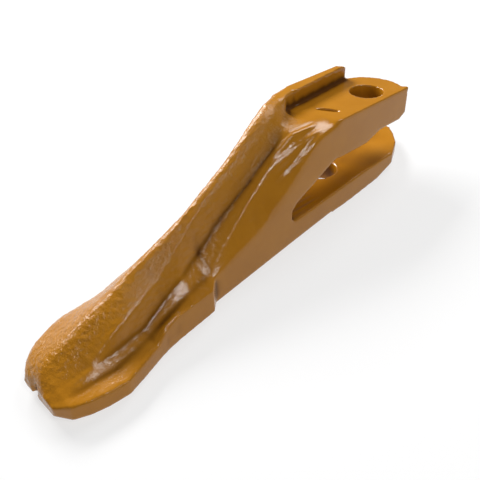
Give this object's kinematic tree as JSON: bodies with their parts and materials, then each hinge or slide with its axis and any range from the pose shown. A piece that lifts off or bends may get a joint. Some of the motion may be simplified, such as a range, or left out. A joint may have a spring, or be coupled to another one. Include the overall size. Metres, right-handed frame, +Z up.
{
  "type": "excavator bucket tooth",
  "caption": "Bolt-on bucket tooth: one casting with a forked shank that straddles a bucket lip, a ridged body and a spade blade.",
  "frame": {"origin": "on the upper bolt hole's axis, in the top face of the shank", "axes": "+X forward to the digging tip, +Y to the flat near side (the tooth's left), +Z up along the bolt holes"},
  "size_m": [0.292, 0.0621, 0.0992],
  "materials": {
    "ochre_enamel": "gloss enamel over rough cast steel"
  },
  "bodies": {
    "root": {"tooth_casting": "ochre_enamel"}
  },
  "joints": []
}
